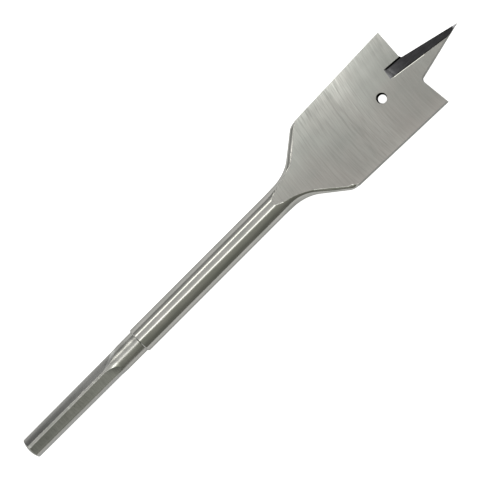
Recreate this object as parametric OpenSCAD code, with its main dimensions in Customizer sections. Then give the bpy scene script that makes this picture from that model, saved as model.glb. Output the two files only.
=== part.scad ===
// Spade drill bit, forged and ground from one steel rod.
// Along X, lengths run from the end of the shank to the tip of the point.
// The bit lies as it comes to rest, on its shaft and on one corner of its blade.

/* [Overall] */
// Length from the end of the shank to the tip of the point
bit_length = 154; // [140:0.5:170]
// Cutting diameter, across the outer corners of the lips
cut_d = 25.4; // [20:0.1:30]

/* [Shank] */
// Diameter of the shank's round stretch, next to the step
shank_d = 6.3; // [6:0.05:6.6]
// Length of the shank, from its end to the step
shank_length = 39.5; // [34:0.5:46]
// Radius of the domed end
end_dome_r = 6.5; // [4:0.5:12]
// Width across each pair of ground flats
flats_across = 5.55; // [5.2:0.05:5.7]
// Length of the flats at their full depth
flats_length = 29; // [20:0.5:30]
// Radius of the wheel that the flats run out with
flats_wheel_r = 6; // [3:0.5:12]
// How far the lands between the flats lie under the round stretch
land_drop = 0.12; // [0.06:0.01:0.2]
// Length of the taper from the lands up to the round stretch
land_taper = 0.8; // [0.6:0.1:1.5]
// Turn of the flats about the axis, from a land square to the blade
flats_turn = 2; // [0:0.5:30]

/* [Shaft] */
// Diameter of the shaft
shaft_d = 7.2; // [6.9:0.1:8]
// Chamfer on the shaft's edge at the step
step_chamfer = 0.3; // [0.1:0.05:0.4]

/* [Neck] */
// Angle of each ramp that is ground from the shaft down to the blade
ramp_angle = 11.4; // [9:0.2:15]
// Distance from the foot of the ramps to the blade's rear corners
ramp_setback = 5.6; // [3:0.2:8]
// Radius of the hollow where a ramp meets the blade's face
ramp_blend_r = 30; // [10:1:50]
// Radius of the outline's hollow between the shaft and the flare
flare_r = 10.8; // [6:0.2:14]
// Angle of each flank of the flare to the axis
flare_angle = 38.9; // [32:0.1:48]
// Radius of the blade's rear corners
rear_corner_r = 3.65; // [2:0.05:5]

/* [Blade] */
// Thickness between the ground faces
blade_t = 2.2; // [1.8:0.1:3]
// Length from the rear corners to the roots of the lips
blade_length = 31.9; // [26:0.05:38]
// Angle by which each side draws in toward the rear
side_angle = 1.8; // [0.5:0.05:3]
// Diameter of the hole through the blade
hole_d = 2.9; // [2:0.1:5]
// Distance of the hole behind the roots of the lips
hole_setback = 10.5; // [8:0.1:20]

/* [Lips] */
// Angle by which each lip leads toward its outer corner
lip_angle = 4.8; // [0.4:0.2:8]
// Relief behind the cutting edge of each lip
lip_relief = 8; // [3:0.5:15]

/* [Point] */
// Length of the point, ahead of the roots of the lips
point_length = 16.6; // [12:0.2:20]
// Angle of each edge of the point to the axis
point_angle = 13.4; // [10:0.2:17]
// Relief behind the cutting edges of the point
point_relief = 5; // [2:0.5:10]
// Radius of the fillet between lip and point
root_r = 0.8; // [0.4:0.1:1.5]

/* [Rake groove] */
// Depth of the groove along its inner wall
groove_depth = 1; // [0.6:0.05:1.05]
// Rise of the groove's floor toward the cutting edge
groove_rake = 10; // [5:0.5:15]
// Angle of the inner wall's line to the axis
groove_angle = 8.6; // [6:0.2:11]
// Distance of the inner wall from the axis, level with the roots of the lips
groove_offset = 0.8; // [0.4:0.05:1.4]
// Slope of the inner wall from square to the face
inner_draft = 20; // [10:1:30]
// Length of the groove behind the roots of the lips
groove_back = 5.7; // [3:0.1:7]
// Radius of the hollow that the groove ends in
groove_end_r = 3.5; // [1.2:0.1:5]
// Gap from the root of the point out to the groove's outer wall
outer_gap = 0.17; // [0.05:0.01:0.6]
// Angle of the outer wall's line to the axis
outer_angle = 4.7; // [2:0.1:8]
// Slope of the outer wall from square to the face
outer_draft = 35; // [15:1:45]

/* [Hidden] */

steel = [0.67, 0.66, 0.63];
$fn = 96;

shank_r = shank_d / 2;
shaft_r = shaft_d / 2;
cut_r = cut_d / 2;
half_t = blade_t / 2;
land_r = shank_r - land_drop;
half_flats = flats_across / 2;

// Margins: how far cutters reach past the metal, and how deep joined shapes overlap
clear = 2;
overlap = 1.5;

// Stations along the axis
x_roots = bit_length - point_length;
x_rear = x_roots - blade_length;
x_hole = x_roots - hole_setback;
x_foot = x_rear - ramp_setback;
x_tongue = x_foot - (shaft_r - half_t) / tan(ramp_angle);

// Half width of the point at its root, and how far the outer corners lead
point_half = point_length * tan(point_angle);
x_corners = x_roots + (cut_r - point_half) * tan(lip_angle);

// Stock that the forging leaves on the faces and sides for grinding,
// and the fine step from the shaft down to the forged neck
face_stock = 0.08;
side_stock = 0.05;
neck_step = 0.02;
neck_r = shaft_r - neck_step;
rim_r = half_t + face_stock;

// Flats: the turn of the wheel that lifts it clear, and where the round stretch begins
flats_lift = acos(1 - (shank_r + face_stock - half_flats) / flats_wheel_r);
x_round = flats_length + flats_wheel_r * sin(flats_lift);

// Forging: where the rod starts to thin and where it has the blade's thickness
forge_lead = 0.8;
forge_trail = 2.5;
x_forge = x_tongue + forge_lead;
x_forged = x_foot + forge_trail;

// Outline of the forging: shaft, hollow, straight flank, rear corner, blade side
function side_at(x) = cut_r - (x_corners - x) * tan(side_angle);
x_flare = x_rear - (side_at(x_rear) - shaft_r) / tan(flare_angle);
flare_tangent = flare_r * tan(flare_angle / 2);
x_hollow_a = x_flare - flare_tangent;
x_hollow_b = x_flare + flare_tangent * cos(flare_angle);

x_turn = x_rear + side_stock / (tan(flare_angle) - tan(side_angle));
turn_tangent = rear_corner_r * tan((flare_angle - side_angle) / 2);
x_corner_a = x_turn - turn_tangent * cos(flare_angle);
x_corner_b = x_turn + turn_tangent * cos(side_angle);
corner_cx = x_corner_b + rear_corner_r * sin(side_angle);
corner_cy = side_at(x_corner_b) + side_stock - rear_corner_r * cos(side_angle);

function half_width(x) =
    x < x_hollow_a ? neck_r :
    x < x_hollow_b ? neck_r + flare_r - sqrt(flare_r^2 - (x - x_hollow_a)^2) :
    x < x_corner_a ? neck_r + (x - x_flare) * tan(flare_angle) :
    x < x_corner_b ? corner_cy + sqrt(rear_corner_r^2 - (x - corner_cx)^2) :
    side_at(x) + side_stock;

function outline_slope(x) =
    x < x_hollow_a ? 0 :
    x < x_hollow_b ? asin((x - x_hollow_a) / flare_r) :
    x < x_corner_a ? flare_angle :
    x < x_corner_b ? asin((corner_cx - x) / rear_corner_r) :
    side_angle;

// Smooth change from a to b while x goes from x0 to x1
function eased(a, b, x, x0, x1) =
    let (t = max(0, min(1, (x - x0) / (x1 - x0))))
    a + (b - a) * (1 - cos(180 * t)) / 2;

function half_thickness(x) = eased(neck_r, rim_r, x, x_forge, x_forged);

// The rim is full round, and squares up through the rear corner to the ground side
function rim_depth(x) =
    eased(half_thickness(x), side_stock / 2, x, x_corner_a, x_corner_b)
        / cos(outline_slope(x));

// Sections of the forging, round the axis
ring_points = 40;
function ring(x) =
    let (w = half_width(x), h = half_thickness(x), s = rim_depth(x))
    [for (i = [0:ring_points - 1])
        let (a = 360 * i / ring_points, c = cos(a))
        [x, sign(c) * (w - s) + s * c, h * sin(a)]];

function steps(a, b, n) = [for (i = [0:n - 1]) a + (b - a) * i / n];

x_neck = min(x_tongue, x_hollow_a) - overlap;
forging_stations = concat(
    [x_neck - overlap],
    steps(x_neck, x_hollow_b, 16),
    steps(x_hollow_b, x_corner_a, 6),
    steps(x_corner_a, x_corner_b, 6),
    [x_corner_b, bit_length + clear]);

// Points of an arc, from angle a to angle b in n steps
function arc(center, r, a, b, n) =
    [for (i = [0:n])
        let (t = a + (b - a) * i / n)
        center + r * [cos(t), sin(t)]];
arc_steps = 6;

module along_x() rotate([0, 90, 0]) children();

// Extrudes a profile drawn in X and Z across the width
module across(width) rotate([90, 0, 0]) linear_extrude(width, center = true) children();

// Extrudes a section drawn in Y and Z along X
module lengthwise(x0, x1)
    translate([x0, 0, 0]) rotate([90, 0, 90]) linear_extrude(x1 - x0) children();

// Both halves of the bit are alike, half a turn apart
module both_halves() for (turn = [0, 180]) rotate([turn, 0, 0]) children();

// Domed shank, step and shaft, turned in one
module turned_bar() {
    dome = asin(land_r / end_dome_r);
    along_x()
        rotate_extrude()
            polygon(concat(
                arc([0, end_dome_r], end_dome_r, -90, dome - 90, arc_steps),
                [[land_r, x_round - land_taper], [shank_r, x_round], [shank_r, shank_length],
                    [shaft_r - step_chamfer, shank_length],
                    [shaft_r, shank_length + step_chamfer], [shaft_r, x_neck], [0, x_neck]]));
}

// Hexagon that bounds the shank's flats, and opens to clear of the bar where they run out
module flats_bound() {
    across_corners = 1 / cos(30);
    run_out = arc([half_flats + flats_wheel_r, flats_length], flats_wheel_r,
        180, 180 - flats_lift, arc_steps);
    rotate([-flats_turn, 0, 0])
        along_x()
            rotate_extrude($fn = 6)
                polygon(concat(
                    [[0, -clear], [half_flats * across_corners, -clear]],
                    [for (p = run_out) [p.x * across_corners, p.y]],
                    [[shaft_d, x_round], [shaft_d, x_neck + clear], [0, x_neck + clear]]));
}

module forging() {
    n = ring_points;
    last = len(forging_stations) - 1;
    sides = [for (k = [0:last - 1], i = [0:n - 1])
        let (j = (i + 1) % n, a = k * n, b = a + n)
        each [[a + i, b + i, b + j], [a + i, b + j, a + j]]];
    caps = [[for (i = [0:n - 1]) i], [for (i = [n - 1:-1:0]) last * n + i]];
    polyhedron([for (x = forging_stations) each ring(x)], concat(sides, caps));
}

// Ramp and face, ground on one side of the blade
module face_cut() {
    x_blend = x_foot + ramp_blend_r * tan(ramp_angle / 2);
    x_back = x_tongue - clear;
    top = shaft_r + clear;
    across(cut_d + clear)
        polygon(concat(
            [[x_back, shaft_r + clear * tan(ramp_angle)]],
            arc([x_blend, half_t + ramp_blend_r], ramp_blend_r, -90 - ramp_angle, -90, arc_steps),
            [[bit_length + 2 * clear, half_t], [bit_length + 2 * clear, top], [x_back, top]]));
}

module side_cut() {
    x0 = x_corner_a - clear;
    x1 = bit_length + 2 * clear;
    linear_extrude(2 * blade_t, center = true)
        polygon([[x0, side_at(x0)], [x1, side_at(x1)], [x1, cut_d], [x0, cut_d]]);
}

// Metal taken from outside the point and ahead of one lip. The cutter leans, so that
// lip and point are relieved behind the cutting edges on the upper face.
module lip_cut() {
    lean = [tan(lip_relief), tan(point_relief)];
    tilt = atan(norm(lean));
    heading = atan2(lean.y, lean.x);
    lip_heading = 90 - lip_angle;
    opening = lip_heading + point_angle;
    bisector = lip_heading - opening / 2;
    fillet_center = root_r / sin(opening / 2) * [cos(bisector), sin(bisector)];
    reach = point_length / cos(point_angle) + 2 * clear;
    outline = concat(
        [cut_d * [cos(lip_heading), sin(lip_heading)]],
        arc(fillet_center, root_r, lip_heading + 90, 270 - point_angle, arc_steps),
        [reach * [cos(point_angle), -sin(point_angle)], [point_length + 2 * clear, cut_d]]);
    translate([x_roots, point_half, 0])
        rotate([0, tilt, heading])
            linear_extrude(2 * cut_d, center = true)
                polygon([for (p = outline)
                    let (q = [[cos(heading), sin(heading)], [-sin(heading), cos(heading)]] * p)
                    [q.x * cos(tilt), q.y]]);
}

// Groove ground along one edge of the point, which gives that edge its rake
module groove_cut() {
    back = -groove_back - clear;
    front = point_length + 2 * clear;
    floor_x = groove_depth * tan(inner_draft);
    floor_rise = (cut_r - floor_x) * tan(groove_rake) - groove_depth;
    top = max(clear, floor_rise + clear);
    end_depth = groove_depth + face_stock;
    end_slope = asin(1 - end_depth / groove_end_r);
    end_cx = groove_end_r * cos(end_slope) - groove_back;
    hollow = arc([end_cx, groove_end_r - end_depth], groove_end_r, 170 + end_slope, 270, arc_steps);
    intersection() {
        translate([x_roots, groove_offset, half_t]) rotate([0, 0, -groove_angle]) {
            lengthwise(back, front)
                polygon([[-top * tan(inner_draft), top], [floor_x, -groove_depth],
                    [cut_r, floor_rise], [cut_r, top]]);
        }
        translate([x_roots, groove_offset, half_t]) rotate([0, 0, -groove_angle]) {
            across(2 * cut_d)
                polygon(concat(hollow, [[front, -end_depth], [front, top], [hollow[0].x, top]]));
        }
        translate([x_roots, point_half + outer_gap, half_t]) rotate([0, 0, -outer_angle]) {
            lengthwise(2 * back, 2 * front)
                polygon([[top * tan(outer_draft), top], [-blade_t * tan(outer_draft), -blade_t],
                    [-cut_d, -blade_t], [-cut_d, top]]);
        }
    }
}

// Angle that brings one corner of the blade down to the level of the shaft's underside
roll = asin(shaft_r / norm([cut_r, half_t])) - atan2(half_t, cut_r);

module laid_down()
    translate([-bit_length / 2, 0, shaft_r]) rotate([-roll, 0, 0]) children();

module spade_bit() {
    color(steel)
        laid_down()
            difference() {
                union() {
                    intersection() {
                        turned_bar();
                        flats_bound();
                    }
                    forging();
                }
                both_halves() {
                    face_cut();
                    side_cut();
                    lip_cut();
                    groove_cut();
                }
                translate([x_hole, 0, 0]) cylinder(d = hole_d, h = 2 * blade_t, center = true);
            }
}

spade_bit();
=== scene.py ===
import math
import bmesh
import bpy
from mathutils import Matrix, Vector


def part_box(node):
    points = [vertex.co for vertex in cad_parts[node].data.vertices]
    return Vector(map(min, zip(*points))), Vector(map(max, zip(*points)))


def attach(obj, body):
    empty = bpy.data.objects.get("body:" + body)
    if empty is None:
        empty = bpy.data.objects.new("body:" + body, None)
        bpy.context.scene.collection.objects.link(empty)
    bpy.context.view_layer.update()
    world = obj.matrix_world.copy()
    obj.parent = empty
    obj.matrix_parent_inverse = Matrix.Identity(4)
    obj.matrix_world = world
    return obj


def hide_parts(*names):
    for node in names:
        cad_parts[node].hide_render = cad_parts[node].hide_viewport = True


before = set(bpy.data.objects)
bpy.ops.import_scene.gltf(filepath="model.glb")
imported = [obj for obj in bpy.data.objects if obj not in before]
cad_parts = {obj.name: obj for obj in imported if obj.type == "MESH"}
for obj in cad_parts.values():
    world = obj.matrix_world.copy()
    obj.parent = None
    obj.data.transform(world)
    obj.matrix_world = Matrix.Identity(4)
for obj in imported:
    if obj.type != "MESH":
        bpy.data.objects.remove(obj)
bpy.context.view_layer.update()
lowCorner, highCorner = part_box("spade_bit")
mm = 0.001
bitLength = (highCorner.x - lowCorner.x) / mm  # modelled in millimetres, then laid down in metres
hair = 0.01  # places closer than this, in millimetres, are one place
print("frame loaded, bit", round(bitLength, 2), "mm long")


# helpers for modelling as by hand

def deselectAll():
    if bpy.context.object and bpy.context.object.mode != "OBJECT":
        bpy.ops.object.mode_set(mode="OBJECT")
    bpy.ops.object.select_all(action="DESELECT")


def startPiece(name, material):
    piece = bpy.context.object
    piece.name = name
    piece.data.name = name
    bpy.ops.object.transform_apply(location=True, rotation=True, scale=True)
    piece.data.materials.append(material)
    bpy.ops.object.mode_set(mode="EDIT")
    bpy.ops.mesh.select_mode(type="VERT")
    return piece


def pickVerts(keep):
    mesh = bpy.context.object.data
    editMesh = bmesh.from_edit_mesh(mesh)
    for part in (editMesh.faces, editMesh.edges, editMesh.verts):
        for item in part:
            item.select = False
    for vert in editMesh.verts:
        vert.select = keep(vert.co)
    editMesh.select_flush(True)
    bmesh.update_edit_mesh(mesh)


def pickSeams(piece, finishes, keep):
    # selects the edges between two finishes, in edit mode
    bpy.ops.mesh.select_mode(type="EDGE")
    bpy.ops.mesh.select_all(action="DESELECT")
    pair = {piece.data.materials.find(finish.name) for finish in finishes}
    work = bmesh.from_edit_mesh(piece.data)
    for edge in work.edges:
        middle = (edge.verts[0].co + edge.verts[1].co) / 2
        if {face.material_index for face in edge.link_faces} == pair and keep(middle):
            edge.select_set(True)
    bmesh.update_edit_mesh(piece.data)


def closePiece(mergeGap=0.0005):
    bpy.ops.mesh.select_all(action="SELECT")
    bpy.ops.mesh.remove_doubles(threshold=mergeGap)
    bpy.ops.mesh.normals_make_consistent(inside=False)
    bpy.ops.object.mode_set(mode="OBJECT")


def startRing(name, material, count, x, radius, turn=0):
    deselectAll()
    bpy.ops.mesh.primitive_circle_add(
        vertices=count, radius=radius, fill_type="NGON", location=(x, 0, 0), rotation=(0, math.pi / 2, 0))
    bpy.ops.object.transform_apply(location=True, rotation=True, scale=True)
    bpy.context.object.rotation_euler.x = math.radians(turn)
    return startPiece(name, material)


def extrudeRing(x0, x, ratio):
    bpy.ops.mesh.extrude_region_move(TRANSFORM_OT_translate={"value": (x - x0, 0, 0)})
    bpy.ops.transform.resize(value=(1, ratio, ratio), center_override=(x, 0, 0))


def startBlock(name, material, low, high):
    deselectAll()
    size = [high[i] - low[i] for i in range(3)]
    middle = [(high[i] + low[i]) / 2 for i in range(3)]
    bpy.ops.mesh.primitive_cube_add(size=1, location=middle, scale=size)
    return startPiece(name, material)


def trimBlock(point, outward):
    bpy.ops.mesh.select_all(action="SELECT")
    bpy.ops.mesh.bisect(plane_co=point, plane_no=outward, use_fill=True, clear_outer=True)


def roundEdge(keep, width, segments):
    pickVerts(keep)
    bpy.ops.mesh.bevel(offset=width, offset_type="OFFSET", segments=segments, profile=0.5, affect="EDGES")


def halfTurn(piece):
    deselectAll()
    piece.select_set(True)
    bpy.context.view_layer.objects.active = piece
    bpy.ops.object.duplicate()
    twin = bpy.context.object
    twin.rotation_euler.x = math.pi
    bpy.ops.object.transform_apply(location=True, rotation=True, scale=True)
    return twin


def grind(piece, cutter, operation="DIFFERENCE"):
    cut = piece.modifiers.new(cutter.name, "BOOLEAN")
    cut.operation = operation
    cut.solver = "EXACT"
    cut.material_mode = "TRANSFER"
    cut.object = cutter
    deselectAll()
    piece.select_set(True)
    bpy.context.view_layer.objects.active = piece
    bpy.ops.object.modifier_apply(modifier=cut.name)
    bpy.data.objects.remove(cutter)


def grindBothHalves(piece, cutter):
    twin = halfTurn(cutter)
    grind(piece, cutter)
    grind(piece, twin)


# the bit's sizes in millimetres and degrees, from the shank's end

bit = {
    "ringPoints": 98,
    "landRadius": 2.99,  # the lands between the flats, at the shank's end
    "landFrontRadius": 3.13,  # the same lands by the round stretch
    "shankRadius": 3.15,
    "shankLength": 39.5,
    "endDome": 6.5,  # radius of the domed end
    "domeRings": 8,
    "roundStart": 31.29,  # from here to the step the shank has its full radius
    "landTaper": 0.8,
    "shaftRadius": 3.6,
    "stepChamfer": 0.3,
    "shoulderLean": 0.02,
    "cutRadius": 12.7,
    "bladeThickness": 2.2,
    "bladeLength": 31.9,
    "pointLength": 16.6,
    "pointAngle": 13.4,
    "lipAngle": 4.8,
    "sideAngle": 1.8,
    "rampAngle": 11.4,
    "rampSetback": 5.6,  # from the ramp's foot to the blade's rear
    "flareRadius": 10.8,
    "flareAngle": 38.9,
    "rearCorner": 3.65,
    "faceStock": 0.25,  # left on the forging, for grinding
    "rimDepth": 2.45,  # at the ramp's foot, in half thicknesses
    "rimMore": 1.12,  # depth of the squarer rims against the others
    "rimPower": 0.5,  # below 1 is squarer
    "rimLean": 0.35,
    "rimSetback": 2,
    "rimTrail": 0.9,
    "rimLimit": 0.98,  # of the half width
    "sideStock": 0.05,
    "forgeLead": 1.8,
    "forgeTrail": 3.3,
    "neckLead": 1.5,
    "neckRings": 54,
    "pastTip": 2,
}


def sinDeg(angle):
    return math.sin(math.radians(angle))


def cosDeg(angle):
    return math.cos(math.radians(angle))


def tanDeg(angle):
    return math.tan(math.radians(angle))


def lineAt(angle):
    # a line on the blade that closes on the axis towards the point
    return Vector((cosDeg(angle), -sinDeg(angle), 0))


halfBlade = bit["bladeThickness"] / 2
cornerReach = math.hypot(bit["cutRadius"], halfBlade)
# it lies on the shaft and on one corner of the blade, rolled by this angle
roll = math.asin(bit["shaftRadius"] / cornerReach) - math.atan2(halfBlade, bit["cutRadius"])


# finishes: bare steel, told apart by how each surface was worked, with painted light and shade in some of
# their colours

steel = {
    "edgeTint": (0.5, 0.5, 0.5, 1),  # keeps grazing reflections down, as on a matt ground steel
    "noiseReach": (0.3, 0.7),
    "markDepth": 0.02,
    "patchShare": 0.35,
    "dullReach": 0.05,
    "faceShift": 7.3,
    "wheelDetail": 4,
    "wheelRoughness": 0.62,
    "skinStretch": {"Lines": (0.04, 1, 1), "Mottle": (0.35, 1, 1)},
    "skinDetail": 3,
}


def addNode(tree, kind, **settings):
    node = tree.nodes.new(kind)
    for name, value in settings.items():
        setattr(node, name, value)
    return node


def mathNode(tree, operation, first, second=None, clamp=False):
    node = addNode(tree, "ShaderNodeMath", operation=operation, use_clamp=clamp)
    for socket, value in zip(node.inputs, (first, second)):
        if isinstance(value, (int, float)):
            socket.default_value = value
        elif value is not None:
            tree.links.new(value, socket)
    return node.outputs[0]


def newGroup(name, inputs, outputs):
    group = bpy.data.node_groups.new(name, "ShaderNodeTree")
    for socket, kind in inputs.items():
        group.interface.new_socket(name=socket, in_out="INPUT", socket_type=kind)
    for socket, kind in outputs.items():
        group.interface.new_socket(name=socket, in_out="OUTPUT", socket_type=kind)
    return group, addNode(group, "NodeGroupInput"), addNode(group, "NodeGroupOutput")


def useGroup(tree, group, place, **values):
    node = addNode(tree, "ShaderNodeGroup", node_tree=group)
    tree.links.new(place, node.inputs["Place"])
    for name, value in values.items():
        node.inputs[name].default_value = value
    return node


# marks of a grinding wheel: lines across the bit, bowed alike on both faces
wheelMarks, given, result = newGroup(
    "wheelMarks",
    {"Place": "NodeSocketVector", "Bow": "NodeSocketFloat", "Middle": "NodeSocketFloat",
     "Fineness": "NodeSocketFloat", "Break": "NodeSocketFloat"},
    {"Marks": "NodeSocketFloat", "Across": "NodeSocketFloat", "Along": "NodeSocketFloat"})
split = addNode(wheelMarks, "ShaderNodeSeparateXYZ")
wheelMarks.links.new(given.outputs["Place"], split.inputs[0])
face = mathNode(wheelMarks, "SIGN", split.outputs["Z"])
acrossFace = mathNode(wheelMarks, "MULTIPLY", split.outputs["Y"], face)
offMiddle = mathNode(wheelMarks, "SUBTRACT", acrossFace, given.outputs["Middle"])
bowed = mathNode(wheelMarks, "MULTIPLY", mathNode(wheelMarks, "POWER", offMiddle, 2), given.outputs["Bow"])
line = mathNode(wheelMarks, "SUBTRACT", split.outputs["X"], bowed)
spread = addNode(wheelMarks, "ShaderNodeCombineXYZ")
stretched = {"X": (line, given.outputs["Fineness"]), "Y": (acrossFace, given.outputs["Break"]),
             "Z": (face, steel["faceShift"])}
for socket, (value, factor) in stretched.items():
    wheelMarks.links.new(mathNode(wheelMarks, "MULTIPLY", value, factor), spread.inputs[socket])
grain = addNode(wheelMarks, "ShaderNodeTexNoise")
grain.inputs["Scale"].default_value = 1
grain.inputs["Detail"].default_value = steel["wheelDetail"]
grain.inputs["Roughness"].default_value = steel["wheelRoughness"]
wheelMarks.links.new(spread.outputs[0], grain.inputs["Vector"])
wheelMarks.links.new(grain.outputs[0], result.inputs["Marks"])
wheelMarks.links.new(acrossFace, result.inputs["Across"])
wheelMarks.links.new(split.outputs["X"], result.inputs["Along"])

# lines that the die leaves along a drawn rod, and the slow mottle of its skin
drawnLines, given, result = newGroup(
    "drawnLines",
    {"Place": "NodeSocketVector", "Lines": "NodeSocketFloat", "Mottle": "NodeSocketFloat"},
    {"Lines": "NodeSocketFloat", "Mottle": "NodeSocketFloat"})
for output, stretch in steel["skinStretch"].items():
    long = addNode(drawnLines, "ShaderNodeVectorMath", operation="MULTIPLY")
    long.inputs[1].default_value = stretch
    skin = addNode(drawnLines, "ShaderNodeTexNoise")
    skin.inputs["Detail"].default_value = steel["skinDetail"]
    drawnLines.links.new(given.outputs["Place"], long.inputs[0])
    drawnLines.links.new(long.outputs[0], skin.inputs["Vector"])
    drawnLines.links.new(given.outputs[output], skin.inputs["Scale"])
    drawnLines.links.new(skin.outputs[0], result.inputs[output])


def newFinish(name):
    # returns the finish, its tree, its shader and the bit's own place in millimetres
    finish = bpy.data.materials.new(name)
    finish.use_nodes = True
    tree = finish.node_tree
    shader = tree.nodes["Principled BSDF"]
    shader.inputs["Metallic"].default_value = 1
    shader.inputs["Specular Tint"].default_value = steel["edgeTint"]
    coordinates = addNode(tree, "ShaderNodeTexCoord")
    standing = addNode(tree, "ShaderNodeMapping")
    standing.inputs["Scale"].default_value = (1 / mm, 1 / mm, 1 / mm)
    standing.inputs["Rotation"].default_value = (roll, 0, 0)
    standing.inputs["Location"].default_value = (
        -lowCorner.x / mm, bit["shaftRadius"] * math.sin(roll), -bit["shaftRadius"] * math.cos(roll))
    tree.links.new(coordinates.outputs["Object"], standing.inputs["Vector"])
    return finish, tree, shader, standing.outputs[0]


def spreadMarks(tree, value, low, high):
    # a noise value around one half, spread from low to high
    reach = addNode(tree, "ShaderNodeMapRange")
    reach.inputs["From Min"].default_value = steel["noiseReach"][0]
    reach.inputs["From Max"].default_value = steel["noiseReach"][1]
    reach.inputs["To Min"].default_value = low
    reach.inputs["To Max"].default_value = high
    tree.links.new(value, reach.inputs["Value"])
    return reach.outputs["Result"]


def setStops(ramp, stops):
    # the place and colour of each stop, instead of those that a new ramp has
    elements = ramp.color_ramp.elements
    while len(elements) > 1:
        elements.remove(elements[0])
    for number, (position, colour) in enumerate(stops):
        stop = elements[0] if number == 0 else elements.new(position)
        stop.position = position
        stop.color = (*colour, 1)


def toneRamp(tree, value, first, last, stops):
    # tones set at places between first and last, in millimetres
    share = addNode(tree, "ShaderNodeMapRange")
    share.inputs["From Min"].default_value = first
    share.inputs["From Max"].default_value = last
    tree.links.new(value, share.inputs["Value"])
    ramp = addNode(tree, "ShaderNodeValToRGB")
    ramp.color_ramp.interpolation = "EASE"
    setStops(ramp, [((at - first) / (last - first), (tone, tone, tone)) for at, tone in stops.items()])
    tree.links.new(share.outputs["Result"], ramp.inputs["Fac"])
    return ramp.outputs["Color"]


mixFirst, mixSecond, mixResult = 6, 7, 2  # the colour sockets of a Mix node


def tintBase(tree, shader, colours, share, tone):
    # two tints of one steel, mixed by the share, times the tone
    mixed = addNode(tree, "ShaderNodeMix", data_type="RGBA")
    for number, colour in zip((mixFirst, mixSecond), colours):
        mixed.inputs[number].default_value = (*colour, 1)
    tree.links.new(share, mixed.inputs[0])
    tinted = addNode(tree, "ShaderNodeVectorMath", operation="SCALE")
    tree.links.new(mixed.outputs[mixResult], tinted.inputs[0])
    tree.links.new(tone, tinted.inputs["Scale"])
    tree.links.new(tinted.outputs[0], shader.inputs["Base Color"])


def roughen(tree, shader, height, strength, depth):
    # a bump over any that the finish has already
    bump = addNode(tree, "ShaderNodeBump")
    bump.inputs["Strength"].default_value = strength
    bump.inputs["Distance"].default_value = depth * mm
    tree.links.new(height, bump.inputs["Height"])
    normal = shader.inputs["Normal"]
    if normal.is_linked:
        tree.links.new(normal.links[0].from_socket, bump.inputs["Normal"])
    tree.links.new(bump.outputs[0], shader.inputs["Normal"])


def paintedSpotTone(tree, place, paintedSpots):
    # painted glints and painted shade: small spots painted brighter or duller than the skin around them
    tone = 1
    for middle, (reach, level) in paintedSpots.items():
        away = addNode(tree, "ShaderNodeVectorMath", operation="DISTANCE")
        away.inputs[1].default_value = middle
        tree.links.new(place, away.inputs[0])
        spot = addNode(tree, "ShaderNodeMapRange", interpolation_type="SMOOTHSTEP")
        spot.inputs["From Max"].default_value = reach
        spot.inputs["To Min"].default_value = level
        spot.inputs["To Max"].default_value = 1
        tree.links.new(away.outputs["Value"], spot.inputs["Value"])
        tone = mathNode(tree, "MULTIPLY", spot.outputs["Result"], tone)
    return tone


def makeDrawnSteel(look):
    finish, tree, shader, place = newFinish("drawnSteel")
    skin = useGroup(tree, drawnLines, place, Lines=look["lines"], Mottle=look["mottle"])
    lines = spreadMarks(tree, skin.outputs["Lines"], 1 - look["lineTone"], 1 + look["lineTone"])
    mottle = spreadMarks(tree, skin.outputs["Mottle"], 1 - look["mottleTone"], 1 + look["mottleTone"])
    glintsAndShade = paintedSpotTone(tree, place, look["paintedSpots"])
    tone = mathNode(tree, "MULTIPLY", mathNode(tree, "MULTIPLY", lines, mottle), glintsAndShade)
    share = spreadMarks(tree, skin.outputs["Mottle"], 0, 1)
    tintBase(tree, shader, (look["colour"], look["otherColour"]), share, tone)
    dull = spreadMarks(tree, skin.outputs["Mottle"], *look["dullSpread"])
    split = addNode(tree, "ShaderNodeSeparateXYZ")
    tree.links.new(place, split.inputs[0])
    along = toneRamp(tree, split.outputs["X"], *look["rampSpan"], look["dullRamp"])
    tree.links.new(mathNode(tree, "MULTIPLY", dull, along), shader.inputs["Roughness"])
    roughen(tree, shader, skin.outputs["Lines"], look["bump"], steel["markDepth"])
    worn = toneRamp(tree, split.outputs["X"], *look["rampSpan"], look["wornRamp"])
    roughen(tree, shader, mathNode(tree, "MULTIPLY", skin.outputs["Mottle"], worn), 1, look["dent"])
    return finish


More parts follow.
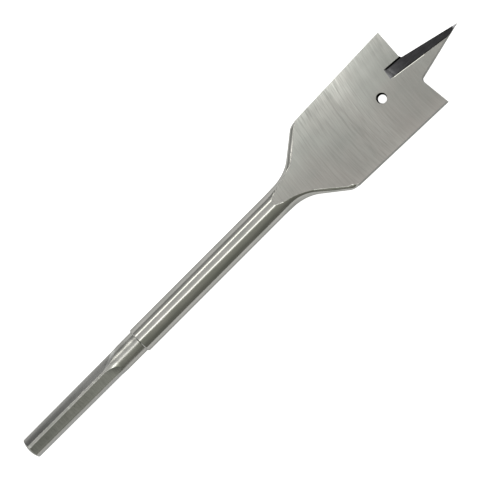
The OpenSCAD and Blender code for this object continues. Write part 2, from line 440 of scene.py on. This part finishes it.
def makeGroundSteel(name, look):
    finish, tree, shader, place = newFinish(name)
    fine = useGroup(tree, wheelMarks, place, Bow=look["bow"], Middle=look["middle"],
                    Fineness=look["fineness"], Break=look["break"])
    broad = useGroup(tree, wheelMarks, place, Bow=look["bow"], Middle=look["middle"],
                     Fineness=look["broadFineness"], Break=look["broadBreak"])
    patches = useGroup(tree, wheelMarks, place, Bow=0, Middle=0, Fineness=look["patch"], Break=look["patch"])

    def overSpan(stops):
        return toneRamp(tree, fine.outputs[look["rampAlong"]], *look["rampSpan"], stops)

    def overLength(stops):
        return toneRamp(tree, fine.outputs["Along"], *look["waveSpan"], stops)

    gain = mathNode(tree, "MULTIPLY", overSpan(look["gain"]), overLength(look["gainAlong"]))
    fineTone = mathNode(tree, "MULTIPLY", spreadMarks(tree, fine.outputs["Marks"], -1, 1), gain)
    broadTone = spreadMarks(tree, broad.outputs["Marks"], -look["broadTone"], look["broadTone"])
    waves = mathNode(tree, "SUBTRACT", overLength(look["waves"]), 1)
    waves = mathNode(tree, "MULTIPLY", waves, overSpan(look["waveReach"]))
    marks = mathNode(tree, "ADD", mathNode(tree, "ADD", fineTone, broadTone), waves)
    marks = mathNode(tree, "ADD", marks, 1)
    tone = mathNode(tree, "MULTIPLY", overSpan(look["ramp"]), marks)
    patchShare = spreadMarks(tree, patches.outputs["Marks"], -steel["patchShare"], steel["patchShare"])
    share = mathNode(tree, "ADD", patchShare, overSpan(look["tint"]), True)
    tintBase(tree, shader, (look["colour"], look["otherColour"]), share, tone)
    dull = spreadMarks(tree, fine.outputs["Marks"], look["roughness"] + steel["dullReach"],
                       look["roughness"] - steel["dullReach"])
    tree.links.new(dull, shader.inputs["Roughness"])
    roughen(tree, shader, fine.outputs["Marks"], look["bump"], steel["markDepth"])
    return finish


drawnSteel = makeDrawnSteel({
    "colour": (0.352, 0.358, 0.338), "otherColour": (0.366, 0.36, 0.348), "lines": 6, "mottle": 0.5,
    "lineTone": 0.05, "mottleTone": 0.08, "bump": 0.05, "rampSpan": (0, 150), "dent": 0.06,
    "dullSpread": (0.85, 1.2),
    # the place of each painted glint or shade spot, how far it reaches and its tone: glints on the land and
    # at the flats' run-out, shade on the round stretch
    "paintedSpots": {(30.8, -0.9, 3): (1.7, 2), (31.2, 0.75, 2.9): (1.8, 0.6), (24.1, 0.1, 3): (0.6, 1.4),
               (15.1, 0.1, 3): (0.6, 1.35), (0.9, 0.05, 3): (0.8, 1.35), (38.9, 0.9, 3): (1.2, 0.5),
               (35.5, 1.6, 2.7): (2.5, 0.75)},
    "dullRamp": {0: 0.2, 30: 0.2, 32: 0.25, 39.4: 0.25, 39.6: 0.13, 150: 0.13},
    "wornRamp": {0: 0.3, 29: 0.6, 30.5: 1.1, 32: 1, 34: 0.55, 39.4: 0.4, 39.6: 0.12, 150: 0.12}})
# ramp, gain, tint and waveReach run along or across the bit, waves and gainAlong always along it
plainGrinding = {
    "bow": 0, "middle": 0, "broadFineness": 0.3, "broadBreak": 0.1, "broadTone": 0.05, "bump": 0.1,
    "rampAlong": "Along", "rampSpan": (0, 160), "ramp": {0: 1}, "tint": {0: 0.5}, "waveSpan": (0, 160),
    "waves": {0: 1}, "waveReach": {0: 1}, "gainAlong": {0: 1}}
groundFace = makeGroundSteel("groundFace", {
    **plainGrinding, "colour": (0.352, 0.36, 0.342), "otherColour": (0.37, 0.3575, 0.34), "patch": 0.11,
    "roughness": 0.34, "bow": 0.0068, "middle": -8, "fineness": 3, "break": 0.16, "broadFineness": 0.3,
    "broadBreak": 0.05,
    "rampAlong": "Across", "rampSpan": (-13, 13),
    # painted light: the ramp paints the face darkest near -9 mm and brightest at the +13 mm edge, as the
    # light falls across the blade
    "ramp": {-13: 0.82, -9: 0.735, -2: 0.79, 5: 0.95, 9: 1.16, 13: 1.48},
    "gain": {-13: 0.13, 2: 0.14, 8: 0.2, 13: 0.36}, "broadTone": 0.05, "bump": 0.12, "waveSpan": (80, 156),
    "tint": {-13: 0.95, -6: 0.6, 0: 0.4, 4: 0.1, 13: 0.05},
    "waves": {98: 1.05, 110: 0.95, 115.5: 0.98, 120.5: 1.14, 127: 1.0, 134: 0.82, 154: 0.9},
    "waveReach": {-13: 0.35, 0: 0.45, 6: 0.6, 10: 1},
    "gainAlong": {104: 0.9, 112: 0.95, 118.5: 1.5, 122: 1.2, 126: 0.6, 132: 0.55, 154: 0.55}})
groundFlat = makeGroundSteel("groundFlat", {
    **plainGrinding, "colour": (0.352, 0.36, 0.353), "otherColour": (0.362, 0.36, 0.352), "patch": 0.2,
    "roughness": 0.17, "fineness": 4.5, "break": 0.5, "broadFineness": 0.25, "broadBreak": 0.2, "bump": 0.12,
    "rampAlong": "Across", "rampSpan": (-3, 3),
    # painted reflection: each flat is painted brighter towards its edges, where a rounder flat would reflect
    # the floor
    "ramp": {-2.8: 1.34, -2.45: 1.16, -1.5: 1.1, -0.4: 1.1, 0.5: 1, 1.6: 1, 1.9: 1.1, 2.2: 1.24, 2.7: 1.34},
    "gain": {0: 0.11}, "broadTone": 0.06, "waveSpan": (0, 40),
    "waves": {0: 0, 5: 0, 9: 0.25, 12: 0.2, 16: 0.38, 20: 0.6, 24: 1, 28: 1, 30.5: 0.1, 34: 0},
    "waveReach": {-2.7: 0, -2.15: 0.15, -1.65: 0.24, -0.5: 0.28, 0.6: 0.5, 1.3: 0.45, 1.6: 0.31, 1.9: 0.18,
                  2.2: 0}})
groundEdge = makeGroundSteel("groundEdge", {
    **plainGrinding, "colour": (0.314, 0.319, 0.304), "otherColour": (0.323, 0.318, 0.304), "patch": 0.2,
    "roughness": 0.28, "fineness": 2, "break": 0.2, "gain": {0: 0.08}, "bump": 0.08})
# painted shade: the grooves are painted nearly black where they are deep, and keep the steel's tone where
# they run out shallow at the rear and by the point
groundGroovePaintedShade = makeGroundSteel("groundGroovePaintedShade", {
    **plainGrinding, "colour": (1, 1.02, 1.06), "otherColour": (1.03, 1, 1.13), "patch": 0.35,
    "roughness": 0.32, "fineness": 0.5, "break": 2.5, "broadBreak": 0.3, "rampSpan": (130, 156),
    "ramp": {131: 0.36, 132.3: 0.3, 132.8: 0.15, 133.3: 0.075, 134.4: 0.038, 136: 0.029, 138.5: 0.022,
             152.2: 0.018, 153: 0.24},
    "gain": {0: 0.15}, "broadTone": 0.1})
boredHolePaintedShade = makeGroundSteel("boredHolePaintedShade", {
    **plainGrinding, "colour": (0.012, 0.012, 0.012), "otherColour": (0.016, 0.015, 0.014), "patch": 0.5,
    "roughness": 0.8, "fineness": 2, "break": 2, "broadFineness": 0.5, "broadBreak": 0.5, "gain": {0: 0.1},
    "broadTone": 0.1})
holeShader = boredHolePaintedShade.node_tree.nodes["Principled BSDF"]
holeShader.inputs["Metallic"].default_value = 0  # painted shade: the hole's wall is painted black, with no steel shine
holeShader.inputs["Specular IOR Level"].default_value = 0
print("finishes ready")


# the forged rod, one ring after another from the shank's end to past the tip

xRoots = bitLength - bit["pointLength"]
xRear = xRoots - bit["bladeLength"]
xFoot = xRear - bit["rampSetback"]
xTongue = xFoot - (bit["shaftRadius"] - halfBlade) / tanDeg(bit["rampAngle"])
pointHalf = bit["pointLength"] * tanDeg(bit["pointAngle"])
xCorners = xRoots + (bit["cutRadius"] - pointHalf) * tanDeg(bit["lipAngle"])


def sideAt(x):
    return bit["cutRadius"] - (xCorners - x) * tanDeg(bit["sideAngle"])


flareTan = tanDeg(bit["flareAngle"])
xFlare = xRear - (sideAt(xRear) - bit["shaftRadius"]) / flareTan
hollowReach = bit["flareRadius"] * tanDeg(bit["flareAngle"] / 2)
xHollowStart = xFlare - hollowReach
xHollowEnd = xFlare + hollowReach * cosDeg(bit["flareAngle"])
xTurn = xRear + bit["sideStock"] / (flareTan - tanDeg(bit["sideAngle"]))
turnReach = bit["rearCorner"] * tanDeg((bit["flareAngle"] - bit["sideAngle"]) / 2)
xCornerStart = xTurn - turnReach * cosDeg(bit["flareAngle"])
xCornerEnd = xTurn + turnReach * cosDeg(bit["sideAngle"])
xForgeEnd = xCornerEnd + bit["rimTrail"]
cornerX = xCornerEnd + bit["rearCorner"] * sinDeg(bit["sideAngle"])
cornerY = sideAt(xCornerEnd) + bit["sideStock"] - bit["rearCorner"] * cosDeg(bit["sideAngle"])


def outlineAt(x):
    # half width and slope of the forging's outline
    if x < xHollowStart:
        return bit["shaftRadius"], 0
    if x < xHollowEnd:
        reach = x - xHollowStart
        rise = bit["flareRadius"] - math.sqrt(bit["flareRadius"] ** 2 - reach ** 2)
        return bit["shaftRadius"] + rise, math.asin(reach / bit["flareRadius"])
    if x < xCornerStart:
        return bit["shaftRadius"] + (x - xFlare) * flareTan, math.radians(bit["flareAngle"])
    if x < xCornerEnd:
        reach = cornerX - x
        rise = math.sqrt(bit["rearCorner"] ** 2 - reach ** 2)
        return cornerY + rise, math.asin(reach / bit["rearCorner"])
    return sideAt(x) + bit["sideStock"], math.radians(bit["sideAngle"])


def eased(first, last, x, xStart, xEnd):
    share = min(1, max(0, (x - xStart) / (xEnd - xStart)))
    return first + (last - first) * (1 - math.cos(math.pi * share)) / 2


def sectionAt(x):
    # half width, rim depth and half thickness of the forging
    width, slope = outlineAt(x)
    half = eased(bit["shaftRadius"], halfBlade + bit["faceStock"], x, xTongue + bit["forgeLead"],
                 xFoot + bit["forgeTrail"])
    deeper = eased(1, bit["rimDepth"], x, xTongue, xFoot)
    rim = eased(half * deeper, bit["sideStock"] / 2, x, xCornerStart + bit["rimTrail"] / 2, xForgeEnd)
    return width, min(rim / math.cos(slope), bit["rimLimit"] * width), half


def extrudeSection(last, x, width, rim, half):
    bpy.ops.mesh.extrude_region_move(TRANSFORM_OT_translate={"value": (x - last["x"], 0, 0)})
    lastOut = last["width"] - last["rim"]
    for side in (1, -1):
        pickVerts(lambda place: place.x > x - hair and place.y * side > 0)
        bpy.ops.transform.resize(value=(1, rim / last["rim"], half / last["half"]),
                                 center_override=(x, side * lastOut, 0))
        bpy.ops.transform.translate(value=(0, side * (width - rim - lastOut), 0))
    pickVerts(lambda place: place.x > x - hair)
    last.update(x=x, width=width, rim=rim, half=half)


firstRadius = bit["landRadius"] / bit["domeRings"]


def domeX(radius):
    return bit["endDome"] - math.sqrt(bit["endDome"] ** 2 - radius ** 2)


spadeBit = startRing("spadeBit", drawnSteel, bit["ringPoints"], domeX(firstRadius), firstRadius)
rounds = [(domeX(firstRadius * i), firstRadius * i) for i in range(1, bit["domeRings"] + 1)]
rounds += [
    (bit["roundStart"] - bit["landTaper"], bit["landFrontRadius"]),
    (bit["roundStart"], bit["shankRadius"]),
    (bit["shankLength"], bit["shankRadius"]),
    (bit["shankLength"] + bit["shoulderLean"], bit["shaftRadius"] - bit["stepChamfer"]),
    (bit["shankLength"] + bit["stepChamfer"], bit["shaftRadius"]),
]
for (x0, radius0), (x1, radius1) in zip(rounds, rounds[1:]):
    extrudeRing(x0, x1, radius1 / radius0)
xNeck = min(xTongue, xHollowStart) - bit["neckLead"]
last = {"x": rounds[-1][0], "width": rounds[-1][1], "rim": rounds[-1][1], "half": rounds[-1][1]}
neckStep = (xForgeEnd - xNeck) / bit["neckRings"]
for ring in range(bit["neckRings"] + 1):
    x = xNeck + neckStep * ring
    extrudeSection(last, x, *sectionAt(x))
xPast = bitLength + bit["pastTip"]
extrudeSection(last, xPast, *sectionAt(xPast))


def leanRims(piece):
    # the two dies were out of line: the flare's rims lean, and are squarer where they lean back
    work = bmesh.from_edit_mesh(piece.data)
    for vert in work.verts:
        if not xTongue < vert.co.x < xCornerEnd:
            continue
        width, rim, half = sectionAt(vert.co.x)
        share = eased(0, 1, vert.co.x, xTongue, xFoot - bit["rimSetback"])
        share *= eased(1, 0, vert.co.x, xCornerStart, xCornerEnd)
        reach = (abs(vert.co.y) - width + rim) / rim
        if vert.co.y * vert.co.z < 0 and reach > 0:
            around = math.atan2(abs(vert.co.z) / half, reach)
            power = 1 + (bit["rimPower"] - 1) * share
            rim = min(rim * (1 + (bit["rimMore"] - 1) * share), bit["rimLimit"] * width)
            vert.co.y = math.copysign(width - rim + rim * math.cos(around) ** power, vert.co.y)
            vert.co.z = math.copysign(half * math.sin(around) ** power, vert.co.z)
        vert.co.y += bit["rimLean"] * share * vert.co.z
    bmesh.update_edit_mesh(piece.data)


leanRims(spadeBit)
closePiece()
print("rod forged,", len(spadeBit.data.vertices), "points")


# grinding: each cutter leaves its own finish on what it cuts, with painted shade in the grooves and the hole

sideCutter = {"lead": 2, "inner": 4, "height": 4, "depth": 6}
cutter = startBlock(
    "sideCutter", groundEdge,
    (xCornerStart - sideCutter["lead"], sideCutter["inner"], -sideCutter["height"]),
    (xPast + sideCutter["lead"], bit["cutRadius"] + sideCutter["depth"], sideCutter["height"]))
trimBlock((xCorners, bit["cutRadius"], 0), (sinDeg(bit["sideAngle"]), -cosDeg(bit["sideAngle"]), 0))
closePiece()
grindBothHalves(spadeBit, cutter)
print("sides ground")

# the wheel's path: flat over the blade, hollow behind it, then over a crest and out of the shaft
faceCutter = {"halfWidth": 16, "arcSteps": 9, "radius": 44, "steep": 15, "crestAngle": 8, "xBlend": 104.4,
              "past": 3, "rampReach": 12, "height": 9}
deselectAll()
xBlend = faceCutter["xBlend"]
xFaceEnd = xPast + faceCutter["past"]
bpy.ops.mesh.primitive_plane_add(size=1, location=((xBlend + xFaceEnd) / 2, 0, halfBlade))
bpy.context.object.scale = (xFaceEnd - xBlend, 2 * faceCutter["halfWidth"], 1)
cutter = startPiece("faceCutter", groundFace)
pickVerts(lambda place: place.x < xBlend + hair)
footMiddle = Vector((xBlend, 0, halfBlade + faceCutter["radius"]))
steep, crest = math.radians(faceCutter["steep"]), math.radians(faceCutter["crestAngle"])
bpy.ops.mesh.spin(steps=faceCutter["arcSteps"], angle=-steep, center=footMiddle, axis=(0, 1, 0))
crestMiddle = footMiddle - 2 * faceCutter["radius"] * Vector((math.sin(steep), 0, math.cos(steep)))
bpy.ops.mesh.spin(steps=faceCutter["arcSteps"], angle=steep - crest, center=crestMiddle, axis=(0, 1, 0))
bpy.ops.mesh.extrude_region_move(TRANSFORM_OT_translate={"value": (
    -faceCutter["rampReach"] * math.cos(crest), 0, faceCutter["rampReach"] * math.sin(crest))})
bpy.ops.mesh.select_all(action="SELECT")
bpy.ops.mesh.extrude_region_move(TRANSFORM_OT_translate={"value": (0, 0, faceCutter["height"])})
closePiece()
grindBothHalves(spadeBit, cutter)
print("faces ground")

# one block grinds a lip and the point's edge beside it, each with its relief
lipCutter = {"lipRelief": 8, "pointRelief": 5, "rootRadius": 0.8, "rootSegments": 8, "height": 5, "back": 4,
             "past": 3, "inner": -8, "outer": 6}
lean = Vector((tanDeg(lipCutter["lipRelief"]), tanDeg(lipCutter["pointRelief"]), 1))
lipLine = Vector((sinDeg(bit["lipAngle"]), cosDeg(bit["lipAngle"]), 0))
pointLine = lineAt(bit["pointAngle"])
root = Vector((xRoots, pointHalf, 0))
cutter = startBlock(
    "lipCutter", groundEdge,
    (xRoots - lipCutter["back"], lipCutter["inner"], -lipCutter["height"]),
    (xPast + lipCutter["past"], bit["cutRadius"] + lipCutter["outer"], lipCutter["height"]))
trimBlock(root, lipLine.cross(lean) * -1)
trimBlock(root, pointLine.cross(lean))
rootSpan = lipCutter["rootRadius"] / tanDeg((90 - bit["lipAngle"] + bit["pointAngle"]) / 2)


def onRootEdge(place):
    return (place - root - lean * place.z).length < hair


roundEdge(onRootEdge, rootSpan, lipCutter["rootSegments"])
closePiece()
grindBothHalves(spadeBit, cutter)
print("lips and point ground")

# a block trimmed to the inner wall, the raked floor and the outer wall, and round at its end
grooveCutter = {"depth": 1, "rake": 10, "angle": 8.6, "offset": 0.92, "innerDraft": 20, "back": 5.5,
                "endRadius": 3.5, "endSteps": 7, "endUnder": 0.08, "outerGap": 0.36, "outerAngle": 4.7,
                "outerDraft": 35, "lead": 12, "past": 4, "inner": -10, "outer": 14, "under": 2, "above": 1.5}
innerLine = lineAt(grooveCutter["angle"])
innerOut = Vector((-innerLine.y, innerLine.x, 0))
innerStart = Vector((xRoots, grooveCutter["offset"], halfBlade))
outerLine = lineAt(grooveCutter["outerAngle"])
outerOut = Vector((-outerLine.y, outerLine.x, 0))
outerStart = Vector((xRoots, pointHalf + grooveCutter["outerGap"], halfBlade))
up = Vector((0, 0, 1))
floorStart = innerStart + (innerOut * tanDeg(grooveCutter["innerDraft"]) - up) * grooveCutter["depth"]
cutter = startBlock(
    "grooveCutter", groundGroovePaintedShade,
    (xRoots - grooveCutter["lead"], grooveCutter["inner"], -grooveCutter["under"]),
    (xPast + grooveCutter["past"], grooveCutter["outer"], halfBlade + grooveCutter["above"]))
trimBlock(innerStart, innerOut * -1 - up * tanDeg(grooveCutter["innerDraft"]))
trimBlock(floorStart, innerOut * tanDeg(grooveCutter["rake"]) - up)
trimBlock(outerStart, outerOut - up * tanDeg(grooveCutter["outerDraft"]))
endDepth = grooveCutter["depth"] + grooveCutter["endUnder"]
endLift = math.acos(1 - endDepth / grooveCutter["endRadius"])
endForward = grooveCutter["endRadius"] * math.sin(endLift) - grooveCutter["back"]
endMiddle = innerStart + innerLine * endForward + up * (grooveCutter["endRadius"] - endDepth)
for step in range(1, grooveCutter["endSteps"] + 1):
    lift = endLift * step / grooveCutter["endSteps"]
    outward = innerLine * -math.sin(lift) - up * math.cos(lift)
    trimBlock(endMiddle + outward * grooveCutter["endRadius"], outward)
closePiece()
grindBothHalves(spadeBit, cutter)
print("rake grooves ground")

# narrower towards the far face, and leaning a little
holeCutter = {"radius": 1.44, "farRadius": 1.14, "setback": 10.53, "offset": -0.14, "segments": 64,
              "depth": 6, "lean": (0.2, 0.12)}
holeMiddle = (xRoots - holeCutter["setback"], holeCutter["offset"], 0)
deselectAll()
bpy.ops.mesh.primitive_cylinder_add(vertices=holeCutter["segments"], radius=holeCutter["radius"],
                                    depth=holeCutter["depth"], location=holeMiddle)
cutter = startPiece("holeCutter", boredHolePaintedShade)
for side in (1, -1):
    pickVerts(lambda place: place.z * side > 0)
    away = (halfBlade - side * holeCutter["depth"] / 2) / bit["bladeThickness"]
    narrower = 1 + (holeCutter["farRadius"] / holeCutter["radius"] - 1) * away
    bpy.ops.transform.resize(value=(narrower, narrower, 1), center_override=holeMiddle)
    bpy.ops.transform.translate(value=(holeCutter["lean"][0] * away, holeCutter["lean"][1] * away, 0))
closePiece()
grind(spadeBit, cutter)
print("hole drilled")

# six flats that run out under the wheel, then a wide stretch that spares the rest of the bit
flatsBound = {"sides": 6, "half": 2.815, "endHalf": 2.762, "length": 27.8, "wheelRadius": 14, "turn": -2,
              "arcSteps": 6, "opening": 24, "shoulder": 0.02, "clear": 0.08, "past": 2, "margin": 1,
              "column": 2.5, "uneven": {1: 4.6, 0: -0.7, -1: 2}}
apothem = math.cos(math.pi / flatsBound["sides"])
rise = bit["shankRadius"] + flatsBound["clear"] - flatsBound["half"]
lift = math.acos(1 - rise / flatsBound["wheelRadius"])
stations = [(-flatsBound["past"], flatsBound["endHalf"])]
for step in range(flatsBound["arcSteps"] + 1):
    turn = lift * step / flatsBound["arcSteps"]
    stations.append((flatsBound["length"] + flatsBound["wheelRadius"] * math.sin(turn),
                     flatsBound["half"] + flatsBound["wheelRadius"] * (1 - math.cos(turn))))
stations += [(stations[-1][0] + flatsBound["shoulder"], flatsBound["opening"]),
             (xPast + flatsBound["past"], flatsBound["opening"])]
cutter = startRing("flatsBound", groundFlat, flatsBound["sides"], stations[0][0], stations[0][1] / apothem,
                   180 / flatsBound["sides"] + flatsBound["turn"])
for (x0, half0), (x1, half1) in zip(stations, stations[1:]):
    extrudeRing(x0, x1, half1 / half0)
runOut = (flatsBound["length"] - flatsBound["margin"], stations[-1][0] - flatsBound["margin"])


def onRunOut(place, column):
    return runOut[0] < place.x < runOut[1] and round(place.y / flatsBound["column"]) == column


for column, shift in flatsBound["uneven"].items():  # one side was ground a little further than the other
    pickVerts(lambda place: onRunOut(place, column))
    bpy.ops.transform.translate(value=(shift, 0, 0))
closePiece()
grind(spadeBit, cutter, "INTERSECT")
print("flats ground,", len(spadeBit.data.polygons), "faces")


# edges: lightly broken, smooth forging, flat grinding

edges = {"merge": 0.004, "degenerate": 0.002, "break": 0.05, "segments": 2, "breakAngle": 24,
         "smoothAngle": 8, "seam": 0.135, "seamSegments": 3, "seamShare": 0.67, "seamFade": (88.5, 93),
         "burr": 0.2, "burrReach": 4.7, "burrCuts": 16, "flatWeight": 80}
deselectAll()
spadeBit.select_set(True)
bpy.context.view_layer.objects.active = spadeBit
bpy.ops.object.mode_set(mode="EDIT")
bpy.ops.mesh.select_all(action="SELECT")
bpy.ops.mesh.remove_doubles(threshold=edges["merge"])
bpy.ops.mesh.dissolve_degenerate(threshold=edges["degenerate"])
bpy.ops.mesh.normals_make_consistent(inside=False)
steelIndex = spadeBit.data.materials.find(drawnSteel.name)
pickSeams(spadeBit, (drawnSteel, groundFace), lambda place: True)
work = bmesh.from_edit_mesh(spadeBit.data)
weight = work.edges.layers.float.new("bevel_weight_edge")
for edge in work.edges:
    if edge.select:
        middle = (edge.verts[0].co.x + edge.verts[1].co.x) / 2
        edge[weight] = eased(1, edges["seamShare"], middle, *edges["seamFade"])
bmesh.update_edit_mesh(spadeBit.data)
bpy.ops.object.mode_set(mode="OBJECT")
# seams are softer where the ramp leaves the shaft than by the blade
seams = spadeBit.modifiers.new("softSeams", "BEVEL")
seams.limit_method = "WEIGHT"
seams.width = edges["seam"]
seams.segments = edges["seamSegments"]
seams.material = steelIndex
seams.use_clamp_overlap = False
bpy.ops.object.modifier_apply(modifier=seams.name)
bpy.ops.object.mode_set(mode="EDIT")


def fromGroove(place):
    # the place as seen from the start of the groove's inner edge, the same for both faces
    face = 1 if place.z > 0 else -1
    return Vector((place.x, place.y * face, place.z * face)) - innerStart


def onGrooveLine(place):
    local = fromGroove(place)
    return abs(local.dot(innerOut)) < hair and abs(local.z) < hair


def onBurr(place):
    return onGrooveLine(place) and fromGroove(place).dot(innerLine) < edges["burrReach"]


pickSeams(spadeBit, (groundGroovePaintedShade, groundFace), onGrooveLine)
bpy.ops.mesh.subdivide(number_cuts=edges["burrCuts"])
pickSeams(spadeBit, (groundGroovePaintedShade, groundFace), onBurr)
bpy.ops.mesh.bevel(
    offset=edges["burr"], segments=edges["seamSegments"], clamp_overlap=False, material=steelIndex)
bpy.ops.object.mode_set(mode="OBJECT")
broken = spadeBit.modifiers.new("brokenEdges", "BEVEL")
broken.width = edges["break"]
broken.segments = edges["segments"]
broken.limit_method = "ANGLE"
broken.angle_limit = math.radians(edges["breakAngle"])
broken.use_clamp_overlap = False
bpy.ops.object.modifier_apply(modifier=broken.name)
bpy.ops.object.shade_smooth_by_angle(angle=math.radians(edges["smoothAngle"]))
weighted = spadeBit.modifiers.new("flatNormals", "WEIGHTED_NORMAL")
weighted.keep_sharp = True
weighted.weight = edges["flatWeight"]
bpy.ops.object.modifier_apply(modifier=weighted.name)
print("edges broken,", len(spadeBit.data.polygons), "faces")

# laid down
spadeBit.scale = (mm, mm, mm)
spadeBit.rotation_euler = (-roll, 0, 0)
spadeBit.location = (lowCorner.x, 0, bit["shaftRadius"] * mm)
bpy.ops.object.transform_apply(location=True, rotation=True, scale=True)
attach(spadeBit, "root")
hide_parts("spade_bit")
print("bit laid down, rolled", round(math.degrees(roll), 2), "degrees")


# stage

floorSettings = {"size": 4, "drop": 0.0001, "glow": 0.94, "mirrored": 0.62, "diffuse": 0.5}
deselectAll()
bpy.ops.mesh.primitive_plane_add(size=floorSettings["size"], location=(0, 0, -floorSettings["drop"]))
floor = bpy.context.object
floor.name = "floor"
paper = bpy.data.materials.new("whitePaper")
paper.use_nodes = True
tree = paper.node_tree
tree.nodes.clear()
output = addNode(tree, "ShaderNodeOutputMaterial")
matte = addNode(tree, "ShaderNodeBsdfDiffuse")
matte.inputs["Color"].default_value = (*[floorSettings["diffuse"]] * 3, 1)
glow = addNode(tree, "ShaderNodeEmission")
path = addNode(tree, "ShaderNodeLightPath")
seen = mathNode(tree, "ADD", path.outputs["Is Camera Ray"], path.outputs["Is Transmission Ray"], True)
seen = mathNode(tree, "MULTIPLY", seen, floorSettings["glow"])
mirrored = mathNode(tree, "MULTIPLY", path.outputs["Is Glossy Ray"], floorSettings["mirrored"])
tree.links.new(mathNode(tree, "MAXIMUM", seen, mirrored), glow.inputs["Strength"])
both = addNode(tree, "ShaderNodeAddShader")
tree.links.new(matte.outputs[0], both.inputs[0])
tree.links.new(glow.outputs[0], both.inputs[1])
tree.links.new(both.outputs[0], output.inputs["Surface"])
floor.data.materials.append(paper)

# dome: dark on the near side, pale on the far side, white where the camera looks past the floor
dome = {
    # brightness at each angle from straight up, below zero on the near side
    "levels": {-90: 0.24, -60: 0.28, -35: 0.45, -14: 0.5, -4: 0.9, 10: 1.15, 24: 0.95, 34: 0.85, 46: 1.0,
               60: 0.85, 74: 0.48, 90: 0.45},
    "nearTint": (1, 1.01, 0.88),
    "farTint": (1, 0.992, 0.965),
    "white": (1, 1, 1, 1),
}
world = bpy.data.worlds.new("studioDome")
bpy.context.scene.world = world
world.use_nodes = True
tree = world.node_tree
tree.nodes.clear()
output = addNode(tree, "ShaderNodeOutputWorld")
background = addNode(tree, "ShaderNodeBackground")
place = addNode(tree, "ShaderNodeTexCoord")
split = addNode(tree, "ShaderNodeSeparateXYZ")
tree.links.new(place.outputs["Generated"], split.inputs[0])
around = mathNode(tree, "ARCTAN2", split.outputs["Y"], split.outputs["Z"])
spread = addNode(tree, "ShaderNodeMapRange")
spread.inputs["From Min"].default_value = -math.pi / 2
spread.inputs["From Max"].default_value = math.pi / 2
tree.links.new(around, spread.inputs["Value"])
ramp = addNode(tree, "ShaderNodeValToRGB")
stops = []
for angle, level in dome["levels"].items():
    tint = dome["nearTint"] if angle < 0 else dome["farTint"]
    stops.append(((angle + 90) / 180, [level * part for part in tint]))
setStops(ramp, stops)
tree.links.new(spread.outputs["Result"], ramp.inputs["Fac"])
path = addNode(tree, "ShaderNodeLightPath")
show = addNode(tree, "ShaderNodeMix", data_type="RGBA")
show.inputs[mixSecond].default_value = dome["white"]
tree.links.new(path.outputs["Is Camera Ray"], show.inputs[0])
tree.links.new(ramp.outputs["Color"], show.inputs[mixFirst])
tree.links.new(show.outputs[mixResult], background.inputs["Color"])
tree.links.new(background.outputs[0], output.inputs["Surface"])

# two long soft tubes over the bit, at angles from straight up
tubes = {
    "tubeAbove": {"angle": 1.0, "distance": 0.7, "width": 0.11, "length": 1.6, "radiance": 2.5,
                  "colour": (1, 0.99, 0.98)},
    "tubeBeyond": {"angle": 50, "distance": 0.7, "width": 0.11, "length": 1.6, "radiance": 2.9,
                   "colour": (1, 0.985, 0.91)},
}
for name, tube in tubes.items():
    lamp = bpy.data.lights.new(name, "AREA")
    lamp.shape = "RECTANGLE"
    lamp.size = tube["length"]
    lamp.size_y = tube["width"]
    lamp.color = tube["colour"]
    lamp.energy = tube["radiance"] * math.pi * tube["length"] * tube["width"]
    holder = bpy.data.objects.new(name, lamp)
    bpy.context.scene.collection.objects.link(holder)
    holder.location = (0, tube["distance"] * sinDeg(tube["angle"]), tube["distance"] * cosDeg(tube["angle"]))
    holder.rotation_euler = (-math.radians(tube["angle"]), 0, 0)
    holder.visible_camera = False

view = {"lens": 176.55, "sensor": 36, "place": (-0.00112, 0.00004, 0.6035), "turn": -45}
camera = bpy.data.cameras.new("camera")
camera.lens = view["lens"]
camera.sensor_width = view["sensor"]
cameraHolder = bpy.data.objects.new("camera", camera)
bpy.context.scene.collection.objects.link(cameraHolder)
cameraHolder.location = view["place"]
cameraHolder.rotation_euler = (0, 0, math.radians(view["turn"]))
bpy.context.scene.camera = cameraHolder
bpy.context.scene.view_settings.view_transform = "Standard"
print("stage lit")
